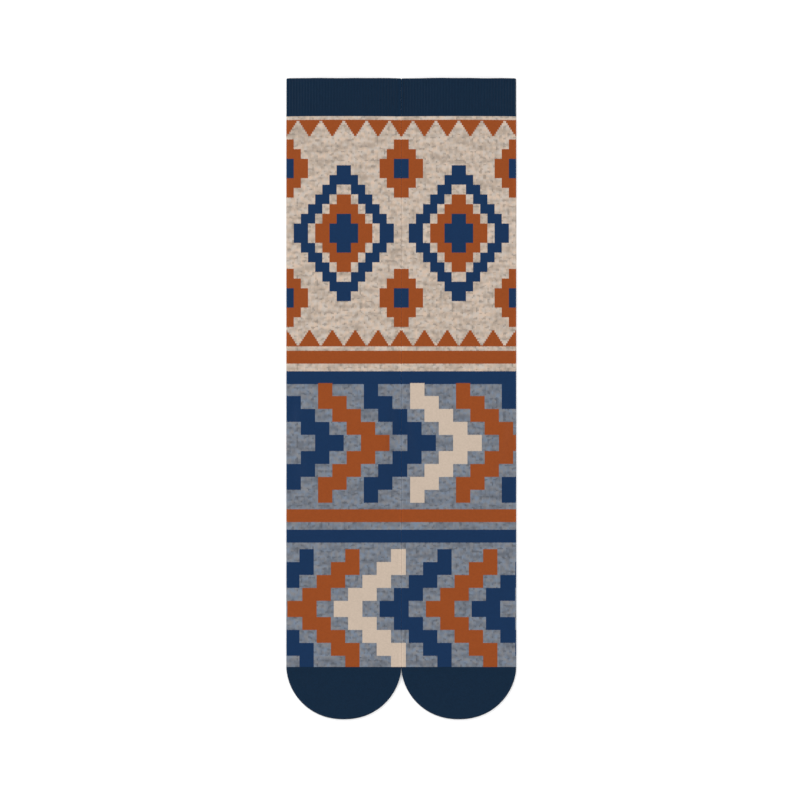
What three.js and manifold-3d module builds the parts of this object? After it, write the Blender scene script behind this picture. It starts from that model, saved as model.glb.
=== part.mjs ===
// A pair of knitted crew socks laid flat side by side, instep up, as on a shop's table.
// Each sock is a flattened tube with a real wall: front and back lie on each other, both side
// folds are round, the cuff's mouth stands a little open, and the toe closes in a half ellipse.
// The heel pocket is tucked flat under the foot, folded once, and opens into the leg.
// Millimetres. +X across the pair, +Y towards the cuffs, +Z up from the surface.
// The origin is on the surface, under the middle of the pair.

import * as THREE from 'three';
import { mergeVertices } from 'three/addons/utils/BufferGeometryUtils.js';
import Module from 'manifold-3d';

const wasm = await Module();
wasm.setup();

// Sizes of one sock
const LENGTH = 446.2;
const WIDTH = 79.6;
const CUFF_HEIGHT = 26.4;
const TOE_HEIGHT = 36.5;
const CLOTH = 1.5;
const BETWEEN_PANELS = 0.5; // air left where front and back lie on each other
const BETWEEN_SOCKS = 0.8;
const SEAM = 0.3; // gap between two pieces of cloth that meet
const JOIN = 0.4; // how far two parts of one piece run into each other where they are joined
const MOUTH_RISE = 6.0; // how far the cuff's front stands off its back
const MOUTH_RUN = 95; // how far down the leg that goes

// Sizes of the heel pocket, tucked under
const HEEL_TO_TOE = 198; // from the heel line to the tip of the toe
const POCKET_DEPTH = 30;
const POCKET_BASE = 27; // half widths of its flat part
const POCKET_TIP = 15;
const POCKET_CORNER = 8; // power of the curve that rounds its two corners
const POCKET_ROOM = 3; // how much wider than the pocket's flat part its full lift is
const POCKET_CLEARANCE = 0.45; // air between the pocket and the sole that lies on it
const LEG_EASE = 44; // how far up the leg the front comes down from the pocket
const FOOT_EASE = 30; // and how far down the foot

// Worked out from those sizes
const FOLD_RADIUS = CLOTH + BETWEEN_PANELS / 2;
const AIR_RADIUS = BETWEEN_PANELS / 2;
const TOP_Y = LENGTH / 2;
const TOE_LINE_Y = -LENGTH / 2 + TOE_HEIGHT;
const CUFF_LINE_Y = TOP_Y - CUFF_HEIGHT;
const HEEL_Y = -LENGTH / 2 + HEEL_TO_TOE;
const FLAT_HALF = WIDTH / 2 - FOLD_RADIUS; // half width between the two side folds
const FLAT_TOE = TOE_HEIGHT - FOLD_RADIUS; // depth of the toe inside its fold
const POCKET_STACK = 2 * FOLD_RADIUS + POCKET_CLEARANCE; // how far the pocket lifts the foot
const SOLE_END_Y = HEEL_Y - POCKET_DEPTH - FOOT_EASE; // where the sole is down on the surface

// How finely each part is divided
const FOLD_STEPS = 6;
const CUFF_STEPS = 4;
const SOLE_STEPS = 12;
const TOE_STEPS = 9;
const POCKET_STEPS = 9;
const TURN_STEPS = 8;
// Where the leg has rings, from 0 at the cuff to 1 at the heel line, closer together at both ends
const DOWN_LEG = [0, 0.1, 0.2, 0.32, 0.5, 0.7, 0.8, 0.86, 0.91, 0.96, 1];
// Where a ring has points across a lifted side, from -1 at one fold to 1 at the other, closer
// together where the side comes down from the pocket
const ACROSS = [-0.94, -0.87, -0.8, -0.66, -0.45, -0.22, 0, 0.22, 0.45, 0.66, 0.8, 0.87, 0.94];
const LEVEL = [];

const clamp = (value) => Math.min(1, Math.max(0, value));
const ease = (value) => clamp(value) ** 2 * (3 - 2 * clamp(value));
const steps = (count) => Array.from({ length: count + 1 }, (_, i) => i / count);

// Half width of the pocket's flat part at a depth of 0 to 1: a taper with rounded corners
function pocketHalf(depth) {
  const taper = POCKET_BASE + (POCKET_TIP - POCKET_BASE) * depth;
  return taper * Math.sqrt(Math.max(0, 1 - depth ** POCKET_CORNER));
}

// How far the front stands off at the mouth: a low arch that dies out down the leg
function mouthRise(x, y) {
  const arch = 1 - Math.min(1, (x / FLAT_HALF) ** 2);
  return MOUTH_RISE * arch * ease(1 - (TOP_Y - y) / MOUTH_RUN);
}

// How far the pocket lifts what lies on it: full over the pocket, easing out to the side folds,
// up the leg and down the foot
function pocketLift(x, y) {
  const depth = clamp((HEEL_Y - y) / POCKET_DEPTH);
  const half = POCKET_BASE + (POCKET_TIP - POCKET_BASE) * depth + POCKET_ROOM;
  const across = Math.max(0, Math.abs(x) - half) / (FLAT_HALF - half);
  const tip = HEEL_Y - POCKET_DEPTH;
  const along = Math.max(0, (y - HEEL_Y) / LEG_EASE, (tip - y) / FOOT_EASE);
  return POCKET_STACK * ease(1 - Math.hypot(across, along));
}

// A side of the tube: how far it is lifted, and where across it a ring has points
const flatSide = { lift: () => 0, at: LEVEL };
const front = { lift: (x, y) => mouthRise(x, y) + pocketLift(x, y), at: ACROSS };
const sole = { lift: pocketLift, at: ACROSS };

// One closed ring round a flat tube. A station is the right-hand end of its flat part and the
// way that the outline faces there; radius is that of the side folds. Viewed from the toe it
// runs up the right fold, over the front, down the left fold and back along the underside.
function ring(station, radius, over, under) {
  const { half, y, outX, outY } = station;
  const fold = (side, turn) => {
    const reach = radius * Math.cos(turn);
    const z = FOLD_RADIUS + radius * Math.sin(turn);
    return new THREE.Vector3(side * (half + reach * outX), y + reach * outY, z);
  };
  const right = steps(FOLD_STEPS).map((t) => fold(1, (t - 0.5) * Math.PI));
  const left = steps(FOLD_STEPS).map((t) => fold(-1, (0.5 - t) * Math.PI));
  const frontPoints = over.at.map((share) => {
    const x = -half * share;
    return new THREE.Vector3(x, y, FOLD_RADIUS + radius + over.lift(x, y));
  });
  const backPoints = under.at.map((share) => {
    const x = half * share;
    return new THREE.Vector3(x, y, FOLD_RADIUS - radius + under.lift(x, y));
  });
  return [...right, ...frontPoints, ...left, ...backPoints];
}

// Puts faces through points, leaving out those that have no area because two corners are one
function solidFrom(points, faces) {
  const soup = new THREE.BufferGeometry();
  soup.setAttribute('position', new THREE.Float32BufferAttribute(points.flatMap((p) => p.toArray()), 3));
  soup.setIndex(faces.flat());
  const merged = mergeVertices(soup, 1e-3);
  const index = Array.from(merged.index.array);
  const kept = [];
  for (let i = 0; i < index.length; i += 3) {
    const [a, b, c] = index.slice(i, i + 3);
    if (a !== b && b !== c && c !== a) kept.push(a, b, c);
  }
  merged.setIndex(kept);
  return merged;
}

// A wall of cloth between an outer and an inner skin, each a ring for every station. It is open
// at both ends, or closed at the last station where that has no width.
function wall(stations, over, under) {
  const outer = stations.map((station) => ring(station, FOLD_RADIUS, over, under));
  const inner = stations.map((station) => ring(station, AIR_RADIUS, over, under));
  const around = outer[0].length;
  const rows = stations.length;
  const points = [...outer.flat(), ...inner.flat()];
  const outerAt = (k, j) => k * around + (j % around);
  const innerAt = (k, j) => (rows + k) * around + (j % around);
  const faces = [];
  const quad = (a, b, c, d) => faces.push([a, b, c], [a, c, d]);
  for (let j = 0; j < around; j++) {
    for (let k = 0; k + 1 < rows; k++) {
      quad(outerAt(k, j), outerAt(k, j + 1), outerAt(k + 1, j + 1), outerAt(k + 1, j));
      quad(innerAt(k, j), innerAt(k + 1, j), innerAt(k + 1, j + 1), innerAt(k, j + 1));
    }
    const last = rows - 1;
    quad(outerAt(0, j), innerAt(0, j), innerAt(0, j + 1), outerAt(0, j + 1));
    if (stations[last].half > 0) {
      quad(outerAt(last, j), outerAt(last, j + 1), innerAt(last, j + 1), innerAt(last, j));
    }
  }
  return solidFrom(points, faces);
}

// Stations straight across the tube at each y of a list
const straight = (ys) => ys.map((y) => ({ half: FLAT_HALF, y, outX: 1, outY: 0 }));

// Stations down the toe's half ellipse, which faces outwards square to its curve
function toeStations() {
  return steps(TOE_STEPS).map((t, i) => {
    const cosine = i === TOE_STEPS ? 0 : Math.cos(t * Math.PI / 2);
    const sine = Math.sin(t * Math.PI / 2);
    const out = new THREE.Vector2(cosine / FLAT_HALF, -sine / FLAT_TOE).normalize();
    return { half: FLAT_HALF * cosine, y: TOE_LINE_Y - FLAT_TOE * sine, outX: out.x, outY: out.y };
  });
}

// Stations down the pocket. It faces outwards along its curve, found from two close points of it.
function pocketStations() {
  const nudge = 1e-4;
  const at = (turn) => {
    const depth = Math.sin(turn);
    return new THREE.Vector2(pocketHalf(depth), HEEL_Y - SEAM - POCKET_DEPTH * depth);
  };
  return steps(POCKET_STEPS).map((t, i) => {
    const turn = t * Math.PI / 2;
    const here = at(turn);
    if (i === POCKET_STEPS) return { half: 0, y: here.y, outX: 0, outY: -1 };
    const along = at(turn + nudge).sub(at(Math.max(0, turn - nudge))).normalize();
    return { half: here.x, y: here.y, outX: -along.y, outY: along.x };
  });
}

const asSolid = (geometry) => new wasm.Manifold(new wasm.Mesh({
  numProp: 3,
  vertProperties: new Float32Array(geometry.getAttribute('position').array),
  triVerts: new Uint32Array(geometry.index.array),
}));

function asGeometry(solid) {
  const { vertProperties, triVerts } = solid.getMesh();
  const geometry = new THREE.BufferGeometry();
  geometry.setAttribute('position', new THREE.BufferAttribute(vertProperties, 3));
  geometry.setIndex(new THREE.BufferAttribute(triVerts, 1));
  return geometry;
}

const join = (first, second) => asGeometry(asSolid(first).add(asSolid(second)));

// The ribbed band at the top, open at both ends
function cuff() {
  const ys = steps(CUFF_STEPS).map((t) => TOP_Y - t * (CUFF_HEIGHT - SEAM));
  return wall(straight(ys), front, flatSide);
}

// Leg and foot, one knitted tube. Their fronts run on into each other. Their backs part at the
// heel line, where the leg's back stays down and the sole starts on top of the pocket.
function legAndFoot() {
  const legYs = DOWN_LEG.map((t) => THREE.MathUtils.lerp(CUFF_LINE_Y, HEEL_Y, t));
  const soleYs = steps(SOLE_STEPS).map((t) => THREE.MathUtils.lerp(HEEL_Y, SOLE_END_Y, t));
  const midFootY = (SOLE_END_Y + TOE_LINE_Y) / 2;
  const footYs = [HEEL_Y + JOIN, ...soleYs, midFootY, TOE_LINE_Y + SEAM];
  const leg = wall(straight(legYs), front, flatSide);
  const foot = wall(straight(footYs), front, sole);
  return join(leg, foot);
}

// The heel pocket: a flat bag with its mouth at the heel line. Its lower layer carries on the
// leg's back, and its upper layer turns back over a round fold to meet the sole.
function heel() {
  const bag = wall(pocketStations(), flatSide, flatSide);
  const outer = POCKET_STACK / 2 - AIR_RADIUS;
  const inner = outer - CLOTH;
  const turnY = HEEL_Y + JOIN + SEAM;
  const start = HEEL_Y - SEAM - JOIN - turnY;
  const profile = new THREE.Shape();
  profile.moveTo(start, -outer);
  profile.lineTo(0, -outer);
  profile.absarc(0, 0, outer, -Math.PI / 2, Math.PI / 2, false);
  profile.lineTo(0, inner);
  profile.absarc(0, 0, inner, Math.PI / 2, -Math.PI / 2, true);
  profile.lineTo(start, -inner);
  const turn = new THREE.ExtrudeGeometry(profile, {
    depth: 2 * POCKET_BASE,
    bevelEnabled: false,
    curveSegments: TURN_STEPS,
  });
  // The profile's own x runs along Y and its y along Z, and it is drawn out along X
  turn.applyMatrix4(new THREE.Matrix4().set(
    0, 0, 1, -POCKET_BASE,
    1, 0, 0, turnY,
    0, 1, 0, CLOTH + BETWEEN_PANELS + outer,
    0, 0, 0, 1,
  ));
  turn.deleteAttribute('normal');
  turn.deleteAttribute('uv');
  return join(bag, mergeVertices(turn, 1e-4));
}

// The toe cap, open only towards the foot
const toe = () => wall(toeStations(), flatSide, flatSide);

const knit = (color) => new THREE.MeshStandardMaterial({ color, roughness: 0.95, metalness: 0 });

const PIECES = [
  { name: 'cuff', shape: cuff(), material: knit(0x182b40) },
  { name: 'leg_and_foot', shape: legAndFoot(), material: knit(0xbfad9e) },
  { name: 'heel', shape: heel(), material: knit(0x182b40) },
  { name: 'toe', shape: toe(), material: knit(0x182b40) },
];

function sock(side, x) {
  const group = new THREE.Group();
  for (const { name, shape, material } of PIECES) {
    const mesh = new THREE.Mesh(shape, material);
    mesh.name = `${side}_${name}`;
    group.add(mesh);
  }
  group.position.x = x;
  return group;
}

const socksApart = (WIDTH + BETWEEN_SOCKS) / 2;
const pair = new THREE.Group();
pair.add(sock('left', -socksApart), sock('right', socksApart));

export default pair;
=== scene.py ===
"""A pair of knitted crew socks laid flat side by side, instep up. Metres, +Z up.

Every sock is four knitted pieces, each a closed wall of cloth worked out on a grid of two
parameters: how far round the tube, and how far down a profile of its wall. The pattern is worked
out stitch by stitch in the material from each piece's own map of wales and millimetres.
"""

import math

import bmesh
import bpy
import numpy as np
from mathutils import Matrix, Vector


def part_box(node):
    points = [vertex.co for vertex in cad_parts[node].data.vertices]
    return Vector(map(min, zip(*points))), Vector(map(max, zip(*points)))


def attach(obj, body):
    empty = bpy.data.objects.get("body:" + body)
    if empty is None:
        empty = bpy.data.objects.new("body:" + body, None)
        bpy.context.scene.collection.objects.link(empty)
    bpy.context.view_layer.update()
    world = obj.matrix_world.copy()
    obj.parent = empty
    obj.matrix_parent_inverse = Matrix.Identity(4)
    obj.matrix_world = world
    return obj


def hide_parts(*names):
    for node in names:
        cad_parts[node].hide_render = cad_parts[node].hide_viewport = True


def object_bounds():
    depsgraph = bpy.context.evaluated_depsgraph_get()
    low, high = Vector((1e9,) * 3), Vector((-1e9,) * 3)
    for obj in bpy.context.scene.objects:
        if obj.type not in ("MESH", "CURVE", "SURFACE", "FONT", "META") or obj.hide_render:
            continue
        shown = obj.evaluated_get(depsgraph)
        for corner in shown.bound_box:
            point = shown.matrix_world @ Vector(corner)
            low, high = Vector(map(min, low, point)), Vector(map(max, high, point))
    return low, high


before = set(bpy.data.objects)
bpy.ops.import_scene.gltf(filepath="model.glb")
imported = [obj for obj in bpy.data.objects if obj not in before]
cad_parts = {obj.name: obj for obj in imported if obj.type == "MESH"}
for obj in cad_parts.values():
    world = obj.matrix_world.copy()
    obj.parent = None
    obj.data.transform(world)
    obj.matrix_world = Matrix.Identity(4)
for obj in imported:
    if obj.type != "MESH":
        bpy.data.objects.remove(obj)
cad_low, cad_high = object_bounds()

MM = 0.001

# The camera looks straight down, framed as the photograph is
IMAGE_SIDE_PX = 800
CENTRE_PX = (401.3, 398.75)  # where the middle of the pair is in the photograph
MM_PER_PX = 0.6957
LENS_MM, SENSOR_MM = 300, 36

# Cloth, as thick as in the frame
CLOTH = 1.5 * MM
AIR = 0.5 * MM  # between a sock's front and its back
INNER_RADIUS = AIR / 2
FOLD_RADIUS = INNER_RADIUS + CLOTH
MIDDLE_RADIUS = (INNER_RADIUS + FOLD_RADIUS) / 2
SEAM = 0.3 * MM  # what the frame leaves open between two pieces
TOUCH = 0.005 * MM  # half of what is left open between two knitted pieces here

# Side folds: free ones, and the two along the middle line, where the socks press on each other
FREE_CORNER = 0.8  # a fold's corners as a share of its radius: 1 is a half circle
PRESSED_CORNER = 0.2
PRESSED_SIDE = {"left": 1, "right": -1}  # which fold of each sock is pressed: 1 is its right one
PRESSED_PACE = 0.47  # how fast such a fold is walked where it shows, as a share of an even pace
PRESSED_FADE = 30  # power by which it gives way to a free fold as the toe's outline turns

# The mouth and the heel pocket, as in the frame
MOUTH_RISE = 6.0 * MM
MOUTH_RUN = 95 * MM  # how far down the leg the rise dies out
POCKET_DEPTH = 30 * MM
POCKET_BASE = 27 * MM  # half its flat width at the heel line
POCKET_TIP = 15 * MM  # and at its tip
POCKET_CORNER = 8  # power of the curve that rounds its two corners
POCKET_CLEARANCE = 0.45 * MM  # air between the pocket and the sole that lies on it
POCKET_ROOM = 3 * MM  # how far past its sides the sole is lifted in full
POCKET_STACK = 2 * FOLD_RADIUS + POCKET_CLEARANCE  # how far it lifts the sole
LEG_EASE = 44 * MM  # how far up the leg the lift dies out
FOOT_EASE = 30 * MM  # and how far past its tip
TURN_OUTER = POCKET_STACK / 2 - INNER_RADIUS  # radius of the turn at its mouth, outside
TURN_INNER = TURN_OUTER - CLOTH  # and inside
TURN_PAST_HEEL = 0.7 * MM  # how far past the heel line the turn has its middle

# Places that the frame gives, alike on both socks
toe_low, toe_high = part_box("left_toe")
TOP_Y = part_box("left_cuff")[1].y
CUFF_LINE_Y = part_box("left_leg_and_foot")[1].y
# The raised cuff is nearer the camera and looks longer, so its seam lies a little lower
CUFF_SEAM_Y = CUFF_LINE_Y - 0.28 * MM
TOE_LINE_Y = toe_high.y
TOE_TIP_Y = toe_low.y
HEEL_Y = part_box("left_heel")[0].y + POCKET_DEPTH + FOLD_RADIUS + SEAM
# The socks touch along the middle line, so each reaches from there to the pair's own side
WIDTH = cad_high.x - TOUCH
CENTRE_X = (cad_high.x + TOUCH) / 2
FLAT_HALF = WIDTH / 2 - FOLD_RADIUS
FLAT_TOE = TOE_LINE_Y - TOE_TIP_Y - FOLD_RADIUS  # depth of the toe inside its fold
TOE_DEPTH_POWER, TOE_WIDTH_POWER = 1.85, 2.15  # of its outline: 2 and 2 are a half ellipse

# Round the tube, at the middle of its cloth
FLAT = 2 * FLAT_HALF
HALF_FOLD = math.pi / 2 * MIDDLE_RADIUS
ROUND = 4 * FLAT_HALF + 2 * math.pi * MIDDLE_RADIUS
# Where the folds and flats end, from half way round the left fold over the front and back to it
KNOTS = [0, HALF_FOLD, HALF_FOLD + FLAT, 3 * HALF_FOLD + FLAT, 3 * HALF_FOLD + 2 * FLAT, ROUND]
FOLD_STEPS = 28  # points round a side fold

# Knitting: wales round the tube, and courses down the sock
WALES = 160
COURSE_MM = 0.75
SLANT = 0.55  # how far, in courses, a stitch's legs rise to the edges of its wale
SWELL = 0.38  # share of a strand's height that comes and goes along each stitch
FUZZ = 0.2  # share of the fibres in the height of the knit

# Colours, as sRGB of the finished yarn in the photograph's light
NAVY_PLAIN = (25, 43, 63)
NAVY = (29, 53, 87)
RUST = (150, 76, 38)
CREAM = (202, 184, 167)
# The two heathers: warm and cool light shades, the dark shade and the flecks
OATMEAL = [(214, 191, 171), (202, 191, 181), (171, 156, 142), (140, 131, 122)]
BLUE_GREY = [(135, 136, 140), (123, 136, 153), (104, 109, 118), (86, 89, 96)]
# The same two on the inside, where they are seen less clearly: flat colours darker than outside,
# painted shade of the sock's inside
OATMEAL_INSIDE_SHADED, BLUE_GREY_INSIDE_SHADED = (160, 147, 134), (96, 102, 112)
LIGHT_ON_CLOTH = 1.15  # how much of its own colour cloth gives back in this light
NAP_HAZE = 0.0065  # how much white the nap adds to it

# Finishes: roughness, how far the fibres raise it, depth of the stitches, weight of the nap
PATTERNED_FINISH = (0.84, 0.12, 0.22 * MM, 0.07)
INSIDE_FINISH = (0.86, 0.10, 0.25 * MM, 0.10)
NAVY_FINISH = (0.84, 0.12, 0.20 * MM, 0.07)
GLOSS = 0.08
NAP_ROUGHNESS = 0.5


def linear(srgb):
    """The colour to give a shader so that cloth comes out as an sRGB of 0 to 255: made linear,
    less the nap's haze, and divided by the light."""
    share = np.array(srgb, float) / 255
    value = np.where(share <= 0.04045, share / 12.92, ((share + 0.055) / 1.055) ** 2.4)
    return (*np.maximum(0.001, (value - NAP_HAZE) / LIGHT_ON_CLOTH).tolist(), 1.0)


def smooth(value):
    """Rises from 0 to 1 with level ends: three squares less two cubes of the clipped value."""
    v = np.clip(value, 0, 1)
    return v * v * (3 - 2 * v)


def sign(value):
    """Which side of nothing a value is on: -1, 0 or 1, where a rounding error counts as nothing."""
    return np.sign(np.round(value, 9))


def spaced(start, end, step):
    """Even steps from start to end, both included."""
    return np.linspace(start, end, max(2, math.ceil(abs(end - start) / step) + 1))


# How far the cloth is lifted


def level(x, y):
    """No lift at all."""
    return np.zeros(np.broadcast(x, y).shape)


def mouth_rise(x, y):
    """A low arch across the mouth, a parabola in x, that dies out down the leg."""
    arch = 1 - np.minimum(1, (x / FLAT_HALF) ** 2)
    return MOUTH_RISE * arch * smooth(1 - (TOP_Y - y) / MOUTH_RUN)


def pocket_taper(depth):
    """Half of the pocket's flat width, before its corners, at a depth of 0 to 1."""
    return POCKET_BASE + (POCKET_TIP - POCKET_BASE) * depth


def pocket_lift(x, y):
    """Full over the pocket. It eases out with the distance past it, across and along together."""
    half = pocket_taper(np.clip((HEEL_Y - y) / POCKET_DEPTH, 0, 1)) + POCKET_ROOM
    across = np.maximum(0, np.abs(x) - half) / (FLAT_HALF - half)
    past_tip = (HEEL_Y - POCKET_DEPTH - y) / FOOT_EASE
    along = np.maximum(0, np.maximum((y - HEEL_Y) / LEG_EASE, past_tip))
    return POCKET_STACK * smooth(1 - np.hypot(across, along))


# Soft creases of each front, in millimetres from the sock's own middle line and the pair's
# middle: where, which way they run (degrees from across the sock), how long, wide and high
CREASES = {
    "left": [
        # x, y, turn, length, width, height
        (-18, -8, 24, 34, 7, 0.42),
        (20, 14, -31, 42, 9, 0.36),
        (-6, 44, 12, 50, 12, 0.30),
        (14, -74, -14, 46, 10, 0.34),
        (-20, -118, 19, 38, 11, 0.28),
        (10, 122, -22, 44, 13, 0.26),
    ],
    "right": [
        (19, -12, -27, 36, 7, 0.40),
        (-21, 18, 33, 38, 8, 0.38),
        (8, 52, -9, 54, 12, 0.28),
        (-16, -82, 17, 42, 10, 0.32),
        (18, -126, -23, 40, 12, 0.30),
        (-12, 112, 15, 48, 12, 0.26),
    ],
}
# Long low waves of laid cloth: wavelengths across and along in millimetres, phase, height
WAVES = {
    "left": [(71, 133, 0.4, 0.22), (96, 87, 2.1, 0.16), (58, 61, 4.0, 0.10)],
    "right": [(83, 118, 1.7, 0.22), (66, 97, 3.3, 0.16), (61, 55, 0.9, 0.10)],
}
EDGE_CALM = 3  # creases and waves die out over the last third of each half of the width


def ripple(side):
    """The unevenness of one sock's front: waves that never dip below level, and bell-shaped
    ridges, all of it dying out towards the side folds."""

    def height(x, y):
        across, along = x / MM, y / MM
        total = np.zeros(np.broadcast(x, y).shape)
        for wave_x, wave_y, phase, high in WAVES[side]:
            turn = 2 * math.pi * (across / wave_x + along / wave_y) + phase
            total = total + high * (0.5 + 0.5 * np.sin(turn))
        for at_x, at_y, turn, long, wide, high in CREASES[side]:
            c, s = math.cos(math.radians(turn)), math.sin(math.radians(turn))
            run = (across - at_x) * c + (along - at_y) * s
            off = (along - at_y) * c - (across - at_x) * s
            total = total + high * np.exp(-((run / (long / 2)) ** 2) - (off / (wide / 2)) ** 2)
        return total * MM * smooth((1 - np.abs(x) / FLAT_HALF) * EDGE_CALM)

    return height


# The tube's cross-section


def around(flat_step):
    """Distances round the tube's middle line where a ring has points, both ends included. They
    start half way round the left fold and run over the front, the right fold and the back."""
    half_fold, flat = FOLD_STEPS // 2, math.ceil(FLAT / flat_step)
    counts = [half_fold, flat, FOLD_STEPS, flat, half_fold]
    parts = [np.linspace(a, b, n, endpoint=False) for a, b, n in zip(KNOTS, KNOTS[1:], counts)]
    return np.concatenate([*parts, [ROUND]])


def section(distance):
    """Where on the flattened tube a distance round it lies: the share of the flat half width,
    from -1 to 1, and the angle that the cloth faces there, up at a quarter turn."""
    up = math.pi / 2
    share = np.interp(distance, KNOTS, [-1, -1, 1, 1, -1, -1])
    angle = np.interp(distance, KNOTS, [math.pi, up, up, -up, -up, -math.pi])
    return share, angle


def fold(angle, pressed):
    """How far out and how far up a fold reaches at an angle, as shares of its radius. A quarter
    of it is a straight run up, a round corner and a straight run in. A free fold is walked at an
    even pace. A pressed one is walked slowly where it shows and faster down its hidden wall, by
    a cube of the angle."""
    corner = FREE_CORNER + (PRESSED_CORNER - FREE_CORNER) * pressed
    run = 1 - corner
    pace = 1 + (PRESSED_PACE - 1) * pressed
    short = np.abs(np.abs(angle) - math.pi / 2) / (math.pi / 2)
    walked = (1 - short * (pace + (1 - pace) * short**2)) * (2 * run + corner * math.pi / 2)
    turned = np.clip((walked - run) / corner, 0, math.pi / 2)
    out = run + corner * np.cos(turned) - np.maximum(0, walked - run - corner * math.pi / 2)
    up = np.minimum(walked, run) + corner * np.sin(turned)
    return out * sign(np.cos(angle)), up * sign(np.sin(angle))


def skin(stations, distance, radius, over, under, pressed=0):
    """Points of one skin of the tube, a row for each station and a column for each distance.

    A station is the half width of the flat part, its y, and the way that the outline faces at
    its end. A point is the station's flat part plus its place on the fold, whose corners are
    tight on the pressed side. The front is lifted by over(x, y) and the back by under(x, y)."""
    share, angle = section(distance)
    half, y, out_x, out_y = (column[:, None] for column in np.asarray(stations, float).T)
    flat_x = half * share
    out, up = fold(angle, np.maximum(0, np.sign(share) * pressed) * out_x**PRESSED_FADE)
    reach, sine = radius * out, np.sin(angle)
    lift = over(flat_x, y) * np.maximum(0, sine) + under(flat_x, y) * np.maximum(0, -sine)
    point = (flat_x + reach * out_x, y + np.abs(reach) * out_y, FOLD_RADIUS + radius * up + lift)
    return np.stack(np.broadcast_arrays(*point), -1)


def straight(ys):
    """Stations straight across the tube."""
    ys = np.asarray(ys, float)
    return np.stack([np.full_like(ys, FLAT_HALF), ys, np.ones_like(ys), np.zeros_like(ys)], 1)


def round_toe(depths):
    """Stations on the toe's outline, by the depth of their flat part below the toe line: nearly a
    half ellipse, where a power of the depth and a power of the width add up to 1. Each faces
    outwards square to the outline."""
    depth = np.clip(np.asarray(depths, float) / FLAT_TOE, 0, 1)
    width = (1 - depth**TOE_DEPTH_POWER) ** (1 / TOE_WIDTH_POWER)
    out_x = TOE_WIDTH_POWER * width ** (TOE_WIDTH_POWER - 1) / FLAT_HALF
    out_y = -TOE_DEPTH_POWER * depth ** (TOE_DEPTH_POWER - 1) / FLAT_TOE
    length = np.hypot(out_x, out_y)
    y = TOE_LINE_Y - FLAT_TOE * depth
    return np.stack([FLAT_HALF * width, y, out_x / length, out_y / length], 1)


def pocket_stations(count, mouth_y):
    """Stations down the heel pocket: a taper whose corners are rounded by a high power of the
    depth. Each faces outwards square to that curve, from two close points of it."""

    def outline(turn):
        depth = np.sin(turn)
        half = pocket_taper(depth) * np.sqrt(np.maximum(0, 1 - depth**POCKET_CORNER))
        return half, mouth_y - POCKET_DEPTH * depth

    nudge = 1e-4
    turn = np.linspace(0, math.pi / 2, count)
    half, y = outline(turn)
    ahead = outline(np.minimum(math.pi / 2, turn + nudge))
    behind = outline(np.maximum(0, turn - nudge))
    along_x, along_y = ahead[0] - behind[0], ahead[1] - behind[1]
    length = np.hypot(along_x, along_y)
    stations = np.stack([half, y, -along_y / length, along_x / length], 1)
    stations[-1] = (0, y[-1], 0, -1)
    return stations


# Meshes

OUTSIDE, INSIDE = 0, 1  # material numbers
MERGED = 1e-6  # points nearer than this are one
SHARP = math.radians(60)  # an edge that bends more stays sharp


def add_object(name, data):
    """A new object in the scene, at the origin."""
    thing = bpy.data.objects.new(name, data)
    bpy.context.scene.collection.objects.link(thing)
    return thing


def grid_faces(rows, columns, start):
    """Corner numbers of the faces of a grid, anticlockwise seen from outside."""
    index = start + np.arange(rows * columns).reshape(rows, columns)
    corners = [index[:-1, :-1], index[1:, :-1], index[1:, 1:], index[:-1, 1:]]
    return np.stack(corners, -1).reshape(-1, 4)


def knitted(name, patches, centre_x, materials):
    """Joins grids into one closed mesh. A patch is its points, its map in wales and millimetres,
    and the material number of each of its rows of faces."""
    points, faces, maps, slots = [], [], [], []
    start = 0
    for grid, chart, slot in patches:
        rows, columns = grid.shape[:2]
        points.append(grid.reshape(-1, 3))
        maps.append(chart.reshape(-1, 2))
        faces.append(grid_faces(rows, columns, start))
        slots.append(np.repeat(np.broadcast_to(slot, rows - 1), columns - 1))
        start += rows * columns
    points, faces, maps = np.concatenate(points), np.concatenate(faces), np.concatenate(maps)
    points = points + np.array([centre_x, 0, 0])
    mesh = bpy.data.meshes.new(name)
    mesh.from_pydata(points, [], faces.tolist())
    mesh.polygons.foreach_set("material_index", np.concatenate(slots).astype(np.int32))
    layer = mesh.uv_layers.new(name="knit")
    layer.data.foreach_set("uv", maps[faces.ravel()].astype(np.float32).ravel())
    whole = bmesh.new()
    whole.from_mesh(mesh)
    bmesh.ops.remove_doubles(whole, verts=whole.verts, dist=MERGED)
    for face in whole.faces:
        face.smooth = True
    for edge in whole.edges:
        edge.smooth = edge.calc_face_angle(0) < SHARP
    whole.to_mesh(mesh)
    whole.free()
    for material in materials:
        mesh.materials.append(material)
    return add_object(name, mesh)


def chart_round(distance, grid, first_wale):
    """The map of a tube: the wale from the distance round it, and millimetres below the cuff
    line from y."""
    wale = first_wale + WALES * distance / ROUND
    below = (CUFF_LINE_Y - grid[..., 1]) / MM
    return np.stack(np.broadcast_arrays(wale[None, :], below), -1)


def chart_flat(stations, distance, first_wale, front):
    """The map of one layer of a flat cap, laid out with its half of the fold: wales run straight
    along the sock, also where the outline closes in. On the front they are counted from the left
    edge, and on the back from the right."""
    share, angle = section(distance)
    half, y, out_x, out_y = (column[:, None] for column in np.asarray(stations, float).T)
    turned = MIDDLE_RADIUS * (math.pi / 2 - angle if front else math.pi / 2 + angle)
    across = 4 * (half * share + out_x * turned) / ROUND
    wale = first_wale + (1 + across if front else 3 - across) * WALES / 4
    return np.stack([wale, (CUFF_LINE_Y - y - out_y * np.abs(turned)) / MM], -1)


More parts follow.
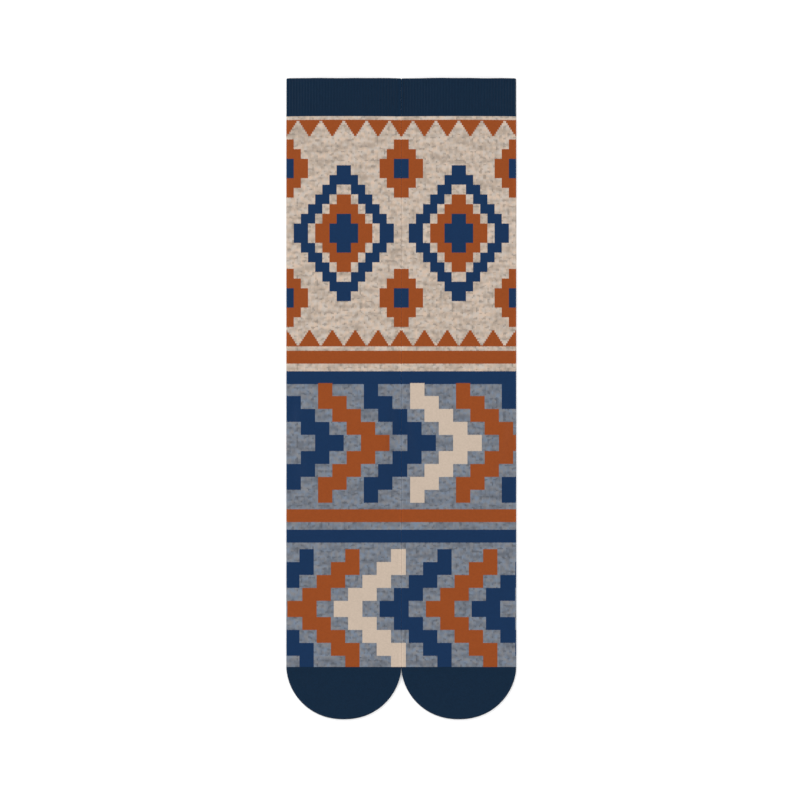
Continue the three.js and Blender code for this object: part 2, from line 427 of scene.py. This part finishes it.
def layers(grid, stations, distance, first_wale, slot):
    """One skin of a flat cap as two patches, its front and its back, that meet half way round
    the folds."""
    middle = int(np.argmin(np.abs(section(distance)[1])))
    patches = []
    for front, part in ((True, slice(0, middle + 1)), (False, slice(middle, None))):
        chart = chart_flat(stations, distance[part], first_wale, front)
        patches.append((grid[:, part], chart, slot))
    return patches


def cap_wall(outer, inner, stations, distance, first_wale):
    """The patches of a flat cap's two skins, and the map of the edge between them at its mouth."""
    patches = layers(outer, stations, distance, first_wale, OUTSIDE)
    patches += layers(inner, stations[::-1], distance, first_wale, INSIDE)
    return patches, chart_flat(stations[[0, 0]], distance, first_wale, True)


# The cuff: one rib for every two wales

CUFF_STEP = 1.6 * MM
RIM_STEPS = 8
POINTS_PER_RIB = 8
RIB_DEPTH = 0.42 * MM
RIB_FADE = 3.5 * MM  # how far above the seam the ribs stand in full
RIB_STOP = 0.5  # cosine of the angle to the other cuff within which there are no ribs
RIM_WAVE = 0.16 * MM  # how unevenly the rim runs
LONG_WAVES, SHORT_WAVES = 3, 7  # how many it has round the sock
SHORT_SHARE = 0.6  # height of the short ones, as a share of the long ones'
SHORT_PHASE = 1.0


def cuff(side, centre_x, first_wale, materials):
    """One grid: up the inside, round the rim and down the outside, closed along its seam.

    The wall's radius swells and shrinks with the ribs. A rib's height is a raised cosine of the
    wale, and the inside has its ribs where the outside has its furrows. The ribs are flat where
    the two cuffs press against each other. Two sine waves round the sock bend the rim."""
    pressed = PRESSED_SIDE[side]
    bend = ripple(side)
    distance = np.linspace(0, ROUND, WALES // 2 * POINTS_PER_RIB + 1)
    rim = CLOTH / 2
    bottom = CUFF_SEAM_Y + TOUCH
    rise = spaced(bottom, TOP_Y - rim - RIM_WAVE, CUFF_STEP)
    turn = np.linspace(0, math.pi, RIM_STEPS + 1)[1:-1]
    ys = np.concatenate([rise, rise[-1] + rim * np.sin(turn), rise[::-1]])
    outward = [np.zeros_like(rise), 0.5 - 0.5 * np.cos(turn), np.ones_like(rise)]
    outward = np.concatenate(outward)[:, None]

    furrow = 0.5 - 0.5 * np.cos(math.pi * (WALES * distance / ROUND - 0.5))
    towards_other = np.maximum(0, np.cos(section(distance)[1]) * pressed)
    depth = RIB_DEPTH * smooth((ys - bottom) / RIB_FADE)[:, None]
    depth = depth * (1 - smooth(towards_other / RIB_STOP))
    outer = FOLD_RADIUS - depth * furrow
    inner = INNER_RADIUS + depth * (1 - furrow)
    radius = inner + (outer - inner) * outward

    def front(x, y):
        return mouth_rise(x, y) + bend(x, y)

    grid = skin(straight(ys), distance, radius, front, level, pressed)
    way_round = 2 * math.pi * distance / ROUND
    wave = np.sin(way_round * LONG_WAVES + first_wale)
    wave = wave + SHORT_SHARE * np.sin(way_round * SHORT_WAVES + SHORT_PHASE)
    share = smooth((ys - bottom) / (rise[-1] - bottom))[:, None]
    grid[..., 1] += RIM_WAVE / 2 * wave * share
    slots = np.where(outward[:-1, 0] + outward[1:, 0] > 1, OUTSIDE, INSIDE)
    chart = chart_round(distance, grid, first_wale)
    patches = [(grid, chart, slots), (grid[[-1, 0]], chart[[-1, 0]], OUTSIDE)]
    return knitted(f"{side}_ribbed_cuff", patches, centre_x, materials)


# The leg and foot

LEG_STEP = 2.2 * MM


def leg_and_foot(side, centre_x, first_wale, materials):
    """Two grids that share the front and both folds at the heel line. The back parts there: the
    leg's back stays down, and the sole starts on top of the pocket."""
    bend = ripple(side)
    distance = around(LEG_STEP)
    back = np.flatnonzero(np.isclose(section(distance)[1], -math.pi / 2))

    def front(x, y):
        return mouth_rise(x, y) + pocket_lift(x, y) + bend(x, y)

    # Where each grid ends, its skins from the first to the last, and what lifts its back
    leg = (CUFF_SEAM_Y - TOUCH, (INNER_RADIUS, FOLD_RADIUS), (INSIDE, OUTSIDE), level)
    foot = (TOE_LINE_Y + TOUCH, (FOLD_RADIUS, INNER_RADIUS), (OUTSIDE, INSIDE), pocket_lift)
    walls, edges = [], []
    for end, radii, skins, under in (leg, foot):
        ys = spaced(HEEL_Y, end, LEG_STEP)
        stations = straight([*ys, *ys[::-1]])
        radius = np.repeat(radii, len(ys))[:, None]
        grid = skin(stations, distance, radius, front, under, PRESSED_SIDE[side])
        chart = chart_round(distance, grid, first_wale)
        walls.append((grid, chart, np.repeat(skins, [len(ys), len(ys) - 1])))
        edges.append((grid[[-1, 0]][:, back], chart[[-1, 0]][:, back], OUTSIDE))
    return knitted(f"{side}_patterned_leg_and_foot", walls + edges, centre_x, materials)


# The heel pocket

POCKET_STEP = 1.1 * MM  # between points across it
POCKET_ROWS = 40
TURN_STEPS = 16
GORE_DEPTH = 0.3 * MM
GORE_WIDTH = 0.9 * MM
GORE_IN = 5.8 * MM  # how far inside the flat part's outline the gore lines run
GORE_START, GORE_STOP = 8, 5  # they deepen over an eighth of the pocket, and fade over a fifth


def pocket_turn(x, outer_y, inner_y, first_wale):
    """The patches of the upper layer's turn at the mouth. Each skin runs on from the bag, round a
    half circle and straight to the sole, and the map runs on with the cloth."""
    middle_y, middle_z = HEEL_Y + TURN_PAST_HEEL, CLOTH + AIR + TURN_OUTER
    turn = np.linspace(0, math.pi, TURN_STEPS + 1)
    strips = []
    for radius, start_y in ((TURN_INNER, outer_y), (TURN_OUTER, inner_y)):
        y = np.concatenate([[start_y], middle_y + radius * np.sin(turn), [HEEL_Y + TOUCH]])
        z = middle_z - radius * np.cos(turn)
        z = np.concatenate([z[:1], z, z[-1:]])
        strips.append(np.stack(np.broadcast_arrays(x[None, :], y[:, None], z[:, None]), -1))
    hollow, bulge = strips
    run = np.concatenate([[0], np.cumsum(np.hypot(*np.diff(bulge[:, 0, 1:], axis=0).T))])
    wale = first_wale + (1 + 4 * x / ROUND) * WALES / 4
    below = (CUFF_LINE_Y - HEEL_Y) / MM - run / MM
    chart = np.stack(np.broadcast_arrays(wale[None, :], below[:, None]), -1)
    patches = [
        (hollow[::-1], chart[::-1], OUTSIDE),
        (bulge, chart, INSIDE),
        (np.stack([bulge[-1], hollow[-1]]), chart[[-1, -1]], OUTSIDE),
    ]
    for column, first, last in ((0, hollow, bulge), (-1, bulge, hollow)):
        side_wall = np.stack([first[::-1, column], last[::-1, column]])
        side_chart = np.stack([chart[::-1, column]] * 2)
        patches.append((side_wall, side_chart, OUTSIDE))
    return patches


def heel(side, centre_x, first_wale, materials):
    """A flat bag, closed at its tip, whose upper layer turns back at the mouth over a round fold
    and ends against the sole. A furrow runs down both faces along each gore line."""
    stations = pocket_stations(POCKET_ROWS, HEEL_Y - TOUCH)
    distance = around(POCKET_STEP)

    def furrow(x, y):
        depth = (HEEL_Y - y) / POCKET_DEPTH
        gore = pocket_taper(depth) - GORE_IN
        line = np.exp(-(((np.abs(x) - gore) / GORE_WIDTH) ** 2))
        return -GORE_DEPTH * line * smooth((1 - depth) * GORE_STOP) * smooth(depth * GORE_START)

    def raised(x, y):
        return -furrow(x, y)

    outer = skin(stations, distance, FOLD_RADIUS, furrow, raised)
    inner = skin(stations[::-1], distance, INNER_RADIUS, level, level)
    patches, lip_chart = cap_wall(outer, inner, stations, distance, first_wale)
    upper = np.flatnonzero(np.isclose(section(distance)[1], math.pi / 2))
    left_fold = np.arange(0, upper[0] + 1)
    lower = np.arange(upper[-1], len(distance))
    for part in (left_fold, lower):
        lip = np.stack([inner[-1, part], outer[0, part]])
        patches.append((lip, lip_chart[:, part], OUTSIDE))
    x = outer[0, upper, 0]
    patches += pocket_turn(x, outer[0, upper[0], 1], inner[-1, upper[0], 1], first_wale)
    return knitted(f"{side}_heel_pocket", patches, centre_x, materials)


# The toe cap

TOE_STEP = 1.3 * MM  # between points across it
TOE_ROWS = 44  # from the seam to the tip
SEAM_STEP = 0.35 * MM  # between rows on the seam
TOE_PUFF = 0.9 * MM  # how far the cap's top swells
PUFF_IN, PUFF_DOWN = 16 * MM, 9 * MM  # how far it takes, from the outline and from the toe line
RIDGE_HEIGHT = 0.45 * MM  # of the linking seam along the toe line
RIDGE_WIDTH = 1.1 * MM
RIDGE_STEEP = 1.6  # how fast it falls away on both sides
RIDGE_MIDDLE, RIDGE_END = 1.3, 3.2  # how far below the toe line, in widths of the ridge
RIDGE_CALM = 8  # the ridge dies out over the last eighth of each half of the width
GORE_DOWN = 5 * MM  # how far below the toe line the gore lines are deep
GORE_REST = 9 * MM  # no gore line is nearer the tip, and each is deep twice as far from it
TIP_CALM = 12 * MM  # creases and waves die out over this distance to the tip
GORE_EDGE = 1 * MM  # gore lines fade over this distance to the outline


def toe(side, centre_x, first_wale, materials):
    """A cap, closed at its tip. Its top swells by a smooth step of how far inside the outline a
    point is, less a furrow along each gore line, plus a ridge along the linking seam."""
    seam_end = RIDGE_END * RIDGE_WIDTH
    turn = np.linspace(math.asin(seam_end / FLAT_TOE), math.pi / 2, TOE_ROWS)[1:]
    stations = round_toe([*spaced(TOUCH, seam_end, SEAM_STEP), *FLAT_TOE * np.sin(turn)])
    stations[-1, 0] = 0
    distance = around(TOE_STEP)
    bend = ripple(side)

    def top(x, y):
        below, above_tip = TOE_LINE_Y - y, y - TOE_TIP_Y
        inside = FLAT_HALF * (1 - np.hypot(x / FLAT_HALF, below / FLAT_TOE))
        puff = TOE_PUFF * smooth(inside / PUFF_IN) * smooth(below / PUFF_DOWN)
        ridge = RIDGE_HEIGHT * np.exp(-((below / RIDGE_WIDTH - RIDGE_MIDDLE) ** 2) * RIDGE_STEEP)
        ridge = ridge * smooth((1 - np.abs(x) / FLAT_HALF) * RIDGE_CALM)
        gore = GORE_DEPTH * np.exp(-(((inside - GORE_IN) / GORE_WIDTH) ** 2))
        gore = gore * smooth(below / GORE_DOWN) * smooth(above_tip / GORE_REST - 1)
        gore = gore * smooth(inside / GORE_EDGE)
        return puff + ridge - gore + bend(x, y) * smooth(above_tip / TIP_CALM)

    pressed = PRESSED_SIDE[side]
    outer = skin(stations, distance, FOLD_RADIUS, top, level, pressed)
    inner = skin(stations[::-1], distance, INNER_RADIUS, top, level, pressed)
    patches, lip_chart = cap_wall(outer, inner, stations, distance, first_wale)
    patches.append((np.stack([inner[-1], outer[0]]), lip_chart, OUTSIDE))
    return knitted(f"{side}_toe_cap", patches, centre_x, materials)


# Shader maths


class Value:
    """A socket in shader maths. Each operator adds one Math node and gives its result."""

    def __init__(self, shader, socket):
        self.shader, self.socket = shader, socket

    def math(self, operation, *values):
        return self.shader.add("Math", {"operation": operation}, dict(enumerate(values)))

    def __add__(self, other):
        return self.math("ADD", self, other)

    def __sub__(self, other):
        return self.math("SUBTRACT", self, other)

    def __rsub__(self, other):
        return self.math("SUBTRACT", other, self)

    def __mul__(self, other):
        return self.math("MULTIPLY", self, other)

    def __truediv__(self, other):
        return self.math("DIVIDE", self, other)

    def __mod__(self, other):
        return self.math("FLOORED_MODULO", self, other)

    def __pow__(self, other):
        return self.math("POWER", self, other)

    def __gt__(self, other):
        return self.math("GREATER_THAN", self, other)

    def __lt__(self, other):
        return self.math("LESS_THAN", self, other)

    def __abs__(self):
        return self.math("ABSOLUTE", self)

    __radd__, __rmul__ = __add__, __mul__

    def floor(self):
        return self.math("FLOOR", self)

    def fraction(self):
        return self.math("FRACT", self)

    def least(self, other):
        return self.math("MINIMUM", self, other)

    def most(self, other):
        return self.math("MAXIMUM", self, other)

    def among(self, first, last):
        """1 where a whole number is one of those from first to last, else 0."""
        return self.math("COMPARE", self, (first + last) / 2, (last - first + 1) / 2)

    def about_one(self, spread):
        """A factor about 1 that a number of 0 to 1 moves by half the spread either way."""
        return self * spread + (1 - spread / 2)


class Shader:
    """One material's nodes."""

    def __init__(self, name):
        self.material = bpy.data.materials.new(name)
        self.material.use_nodes = True
        self.tree = self.material.node_tree
        self.tree.nodes.clear()

    def add(self, kind, settings=None, sockets=None, output=0):
        """Adds a node of a type, sets its settings, then fills its sockets with values or links.
        Gives one of its outputs."""
        node = self.tree.nodes.new("ShaderNode" + kind)
        for name, value in (settings or {}).items():
            setattr(node, name, value)
        for key, value in (sockets or {}).items():
            if isinstance(value, Value):
                self.tree.links.new(value.socket, node.inputs[key])
            else:
                node.inputs[key].default_value = value
        return Value(self, node.outputs[output]) if len(node.outputs) else None

    def surface(self, sockets):
        """Ends the material in a principled shader with these sockets. Gives the material."""
        self.add("OutputMaterial", None, {"Surface": self.add("BsdfPrincipled", None, sockets)})
        return self.material

    def mix(self, factor, first, second):
        """first where the factor is 0 and second where it is 1, as colours."""
        sockets = {0: factor, 6: first, 7: second}
        return self.add("Mix", {"data_type": "RGBA"}, sockets, output=2)

    def shade(self, colour, factor):
        """A colour made darker or lighter by a factor."""
        scale = self.add("CombineXYZ", None, {0: factor, 1: factor, 2: factor})
        settings = {"data_type": "RGBA", "blend_type": "MULTIPLY"}
        return self.add("Mix", settings, {0: 1.0, 6: colour, 7: scale}, output=2)

    def ease(self, value, low, high):
        """Rises from 0 to 1 with level ends while a value goes from low to high."""
        settings = {"interpolation_type": "SMOOTHSTEP"}
        return self.add("MapRange", settings, {0: value, 1: low, 2: high})

    def noise(self, x, y, scale=1.0, detail=1.0, roughness=0.5):
        """Smooth noise of 0 to 1 over two numbers."""
        place = self.add("CombineXYZ", None, {0: x, 1: y, 2: 0.0})
        settings = {"noise_dimensions": "2D"}
        sockets = {"Vector": place, "Scale": scale, "Detail": detail, "Roughness": roughness}
        return self.add("TexNoise", settings, sockets)

    def cloth(self, colour, strands, fibres, finish):
        """Knitted cloth: a matt surface with a fine nap, bumped by its strands' height of 0 to 1
        and the fibres on them."""
        roughness, wander, depth, nap = finish
        height = strands * (1 - FUZZ) + fibres * FUZZ
        bump = self.add("Bump", None, {"Strength": 1.0, "Distance": depth, "Height": height})
        return self.surface(
            {
                "Base Color": colour,
                "Roughness": fibres * wander + roughness,
                "Specular IOR Level": GLOSS,
                "Sheen Weight": nap,
                "Sheen Roughness": NAP_ROUGHNESS,
                "Normal": bump,
            }
        )


FIBRES = (3.1, 3.0, 0.65)  # scale, detail and roughness of their noise


class Stitches:
    """The stitch that a point of the map is on.

    A wale is a column of stitches. Each stitch is a V, so the course counts from millimetres
    down the sock plus a slant towards both edges of its wale. wale and course are the whole
    numbers, and down is the stitch's own middle in millimetres below the cuff line."""

    def __init__(self, shader):
        self.shader = shader
        chart = shader.add("UVMap", {"uv_map": "knit"})
        parts = shader.add("SeparateXYZ", None, {0: chart}).socket.node.outputs
        self.across, self.below = Value(shader, parts[0]), Value(shader, parts[1])
        self.wale = self.across.floor()
        self.edge = abs(self.across.fraction() * 2 - 1)
        rows = self.below / COURSE_MM + self.edge * SLANT
        self.course = rows.floor()
        self.within = rows.fraction()
        self.down = (self.course + (0.5 - SLANT / 2)) * COURSE_MM

    def along(self):
        """How high a rounded strand is along its own stitch: highest half way."""
        return 1 - (self.within * 2 - 1) ** 2

    def height(self):
        """Two rounded strands to a wale, each highest half way from its middle to its edge and
        half way along its own stitch."""
        strand = 1 - (self.edge * 2 - 1) ** 2
        return strand * (1 - SWELL) + strand * self.along() * SWELL

    def own_shade(self, spread):
        """A factor about 1 that differs from stitch to stitch."""
        place = self.shader.add("CombineXYZ", None, {0: self.wale, 1: self.course, 2: 0.0})
        chance = self.shader.add("TexWhiteNoise", {"noise_dimensions": "2D"}, {"Vector": place})
        return chance.about_one(spread)

    def fibres(self):
        """Noise finer than a stitch, over wales and millimetres, which are nearly alike."""
        return self.shader.noise(self.across, self.below, *FIBRES)


# Noises that mottle a heather: how fast each changes, for a wale and for a millimetre down the
# sock, and its share
MOTTLE = [
    (0.36, 0.26, 0.4),  # blots a few stitches wide
    (0.07, 0.27, 0.4),  # lengths along the courses
    (0.05, 0.12, 0.2),  # clouds
]
TINT_PACE = 0.33
FLECK_PACE = (0.36, 0.5)
TINT_AT, FLECK_AT = 40, 70  # where these two start, so that they don't follow the others
MOTTLE_RANGE, TINT_RANGE, FLECK_RANGE = (0.28, 0.66), (0.3, 0.7), (0.6, 0.82)
FLECK_SHARE = 0.7


def heather(shader, stitches, shades, seed):
    """A mottled yarn: soft blots a few stitches wide, longer lengths along the courses and a
    slow cloudiness, between a light and a dark shade, and a few darker flecks. The light shade
    wanders between a warm and a cool one."""
    warm, cool, dark, fleck = (linear(shade) for shade in shades)
    across, down = stitches.wale + seed, stitches.down + seed
    light = sum(shader.noise(across * wide, down * deep) * share for wide, deep, share in MOTTLE)
    tint = shader.noise(across * TINT_PACE + TINT_AT, down * TINT_PACE)
    tint = shader.mix(shader.ease(tint, *TINT_RANGE), warm, cool)
    ground = shader.mix(shader.ease(light, *MOTTLE_RANGE), dark, tint)
    flecks = shader.noise(across * FLECK_PACE[0], down * FLECK_PACE[1] + FLECK_AT, detail=0.0)
    return shader.mix(shader.ease(flecks, *FLECK_RANGE) * FLECK_SHARE, ground, fleck)


# The pattern, in wales round the sock and millimetres below the cuff line

YARNS = {"navy": NAVY, "rust": RUST, "cream": CREAM}
STRIPES = [
    # top, bottom, yarn
    (163.5, 172.2, "rust"),
    (177.8, 186.4, "navy"),
    (273.8, 282.5, "rust"),
    (287.9, 296.7, "navy"),
]
PANEL = STRIPES[0][0]  # depth of the oatmeal panel above the first stripe
HEATHER_CHANGE = 181.0  # under the navy stripe, where oatmeal ground becomes blue-grey
CELL = 10  # wales in one block of an arrow
PITCH = 32  # wales from one arrow to the next
ROW = 9.0  # depth of a row of blocks
MIDDLE_ROW = 11.1
LAST_ROW = 4  # the outermost row, from 0 in the middle
ARROW_BANDS = [
    # middle, wale of the first arrow's tip, direction from its tip to its tail
    (227.15, 200, -1),
    (343.2, -31, 1),
]
ARROW_YARNS = ["navy", "rust", "cream", "navy", "rust", "navy"]  # from the first arrow on


def stripes(stitches):
    """The four stripes round the leg and foot. Like every figure, each is a yarn and a mask."""
    down = stitches.down
    return [(yarn, (down > top) * (down < bottom)) for top, bottom, yarn in STRIPES]


def arrows(stitches, middle, tip, tail):
    """A band of nested stepped arrows. A row's blocks start one block further from the tip than
    the row inside it, two blocks wide, or one in the outermost row. The whole number of pitches
    from the first arrow gives the yarn."""
    off = abs(stitches.down - middle)
    row = ((off - MIDDLE_ROW / 2) / ROW + 1).floor().most(0)
    wale = stitches.wale % WALES + 0.5
    from_tip = (wale - tip) * tail - row * CELL
    arrow = (from_tip / PITCH).floor()
    width = CELL * 2 - CELL * (row > LAST_ROW - 0.5)
    inside = (from_tip - arrow * PITCH < width) * (row < LAST_ROW + 0.5)
    return [(yarn, arrow.among(n, n) * inside) for n, yarn in enumerate(ARROW_YARNS)]


BLOCK = 5  # wales in one step of a diamond
STEP = 6.75  # its depth
TOOTH = 16  # wales from one saw tooth to the next
TEETH_FROM, TEETH_TO = 3.0, 15.0  # the teeth's base and tips, from the panel's edge
SMALL_DIAMOND_AT = 45.0  # from the panel's middle line


def panel(stitches):
    """The oatmeal panel: a stepped diamond in rings on each half of the tube, small stepped
    diamonds between them, and a row of saw teeth along both edges. A ring is the sum of whole
    steps across and down from a diamond's middle."""
    off = abs(stitches.down - PANEL / 2)
    edge = PANEL / 2 - off
    wale = stitches.wale + 0.5
    across = abs(wale % (WALES / 2) - WALES / 4)
    ring = (across / BLOCK).floor() + (off / STEP).floor()
    small_across, small_off = WALES / 4 - across, abs(off - SMALL_DIAMOND_AT)
    small = (small_across / BLOCK).floor() + (small_off / STEP).floor()
    tooth = abs((wale + TOOTH / 2) % TOOTH - TOOTH / 2)
    slope = TOOTH / 2 / (TEETH_TO - TEETH_FROM)
    teeth = (edge > TEETH_FROM) * (tooth < (TEETH_TO - edge) * slope)
    navy_parts = ring.among(5, 6) + ring.among(0, 1) + small.among(0, 0)
    rust_parts = ring.among(2, 3) + small.among(1, 2) + teeth
    here = edge > 0
    return [("navy", navy_parts * here), ("rust", rust_parts * here)]


# Materials

GROUND_SPREAD, FIGURE_SPREAD = 0.3, 0.2  # how far the fibres shade a knit, and figures on it
FIGURE_STITCHES, NAVY_STITCHES = 0.08, 0.14  # how far a shade differs from stitch to stitch


def patterned_knit():
    """The leg and foot: figures of flat yarn on oatmeal and blue-grey heather."""
    shader = Shader("patterned_knit")
    stitches = Stitches(shader)
    fibres = stitches.fibres()
    oatmeal = heather(shader, stitches, OATMEAL, 0.0)
    grey = heather(shader, stitches, BLUE_GREY, 300.0)
    colour = shader.mix(stitches.down > HEATHER_CHANGE, oatmeal, grey)
    colour = shader.shade(colour, fibres.about_one(GROUND_SPREAD))
    figures = [*panel(stitches), *stripes(stitches)]
    for band in ARROW_BANDS:
        figures += arrows(stitches, *band)
    own = stitches.own_shade(FIGURE_STITCHES) * fibres.about_one(FIGURE_SPREAD)
    for name, yarn in YARNS.items():
        mask = sum(part for part_yarn, part in figures if part_yarn == name)
        colour = shader.mix(mask.least(1), colour, shader.shade(linear(yarn), own))
    return shader.cloth(colour, stitches.height(), fibres, PATTERNED_FINISH)


STRAND_PACE = (0.12, 2.3)  # how fast the loose strands change, for a wale and for a course
NAVY_FROM, RUST_TO = 0.54, 0.42  # where they are navy or rust
STRAND_COVER = 0.85


def patterned_inside():
    """The back of the patterned knit: loose navy and rust strands along the courses."""
    shader = Shader("patterned_knit_inside")
    stitches = Stitches(shader)
    # painted shade: the ground inside is darker than the heathers outside
    oatmeal, grey = linear(OATMEAL_INSIDE_SHADED), linear(BLUE_GREY_INSIDE_SHADED)
    colour = shader.mix(stitches.down > HEATHER_CHANGE, oatmeal, grey)
    strand = shader.noise(stitches.wale * STRAND_PACE[0], stitches.course * STRAND_PACE[1])
    colour = shader.mix((strand > NAVY_FROM) * STRAND_COVER, colour, linear(NAVY))
    colour = shader.mix((strand < RUST_TO) * STRAND_COVER, colour, linear(RUST))
    return shader.cloth(colour, stitches.along(), stitches.fibres(), INSIDE_FINISH)


def navy_knit():
    """Cuffs, heels and toes: one dark yarn."""
    shader = Shader("navy_knit")
    stitches = Stitches(shader)
    fibres = stitches.fibres()
    own = stitches.own_shade(NAVY_STITCHES) * fibres.about_one(GROUND_SPREAD)
    colour = shader.shade(linear(NAVY_PLAIN), own)
    return shader.cloth(colour, stitches.height(), fibres, NAVY_FINISH)


WHITE = (1, 1, 1, 1)
PAPER = (0.78, 0.78, 0.78, 1)
PAPER_GLOW = 0.25  # light that comes up through the paper, so that hardly a shadow shows


def pale_floor():
    """Matt paper."""
    return Shader("pale_floor").surface(
        {
            "Base Color": PAPER,
            "Roughness": 1.0,
            "Specular IOR Level": 0.0,
            "Emission Color": WHITE,
            "Emission Strength": PAPER_GLOW,
        }
    )


# The floor

FLOOR_HALF = 6.0
corners = [(-1, -1), (1, -1), (1, 1), (-1, 1)]
floor_mesh = bpy.data.meshes.new("floor")
floor_mesh.from_pydata([(x * FLOOR_HALF, y * FLOOR_HALF, 0) for x, y in corners], [], [range(4)])
floor_mesh.materials.append(pale_floor())
add_object("floor", floor_mesh)

# The pair


def flat_area(stations):
    """Both layers of a flat cap, in strips across it that are as wide as its outline."""
    wide, y = 2 * (stations[:, 0] + stations[:, 2] * FOLD_RADIUS), stations[:, 1]
    strips = (wide[1:] + wide[:-1]) / 2 * np.abs(np.diff(y))
    return float(2 * strips.sum())


AREA_ROWS = 200
TOE_AREA = flat_area(round_toe(FLAT_TOE * np.sin(np.linspace(0, math.pi / 2, AREA_ROWS))))
TURN_LENGTH = math.pi * TURN_OUTER
HEEL_AREA = flat_area(pocket_stations(AREA_ROWS, HEEL_Y)) + TURN_LENGTH * 2 * POCKET_BASE

# Side, middle, and first wale at the left fold: the pattern runs on from the left sock's front to
# the right one's
SOCKS = [("left", -CENTRE_X, 0), ("right", CENTRE_X, WALES // 2)]


def wear(piece, node):
    """A finished piece takes its node's place and rides on the one body."""
    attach(piece, "root")
    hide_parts(node)


patterned, patterned_back, navy = patterned_knit(), patterned_inside(), navy_knit()
for side, centre_x, first_wale in SOCKS:
    place = (side, centre_x, first_wale)
    pocket = heel(*place, [navy, navy])
    wear(pocket, f"{side}_heel")
    leg = leg_and_foot(*place, [patterned, patterned_back])
    wear(leg, f"{side}_leg_and_foot")
    wear(cuff(*place, [navy, navy]), f"{side}_cuff")
    wear(toe(*place, [navy, navy]), f"{side}_toe")

# Camera and light

LAMPS = [
    # name, place, side of the square, power
    ("key", (-0.8, 0.8, 2.0), 1.0, 18),
    ("fill", (1.0, -0.7, 2.0), 1.4, 6),
]
STUDIO_LIGHT = 1.0


def overhead_camera():
    """Straight above, from where a pixel has its size on the top of the socks."""
    data = bpy.data.cameras.new("camera")
    data.lens = LENS_MM
    data.sensor_width = SENSOR_MM
    distance = IMAGE_SIDE_PX * MM_PER_PX * MM * LENS_MM / SENSOR_MM
    camera = add_object("camera", data)
    camera.location = (
        (IMAGE_SIDE_PX / 2 - CENTRE_PX[0]) * MM_PER_PX * MM,
        (CENTRE_PX[1] - IMAGE_SIDE_PX / 2) * MM_PER_PX * MM,
        2 * FOLD_RADIUS + distance,
    )
    return camera


def soft_light(name, place, size, power):
    """A square lamp that faces the middle of the pair."""
    data = bpy.data.lights.new(name, "AREA")
    data.size = size
    data.energy = power
    lamp = add_object(name, data)
    lamp.location = place
    lamp.rotation_euler = (-lamp.location).to_track_quat("-Z", "Y").to_euler()


bpy.context.scene.camera = overhead_camera()
for lamp in LAMPS:
    soft_light(*lamp)
studio = bpy.data.worlds.new("studio")
studio.use_nodes = True
background = studio.node_tree.nodes["Background"]
background.inputs["Color"].default_value = WHITE
background.inputs["Strength"].default_value = STUDIO_LIGHT
bpy.context.scene.world = studio
bpy.context.scene.view_settings.view_transform = "Standard"
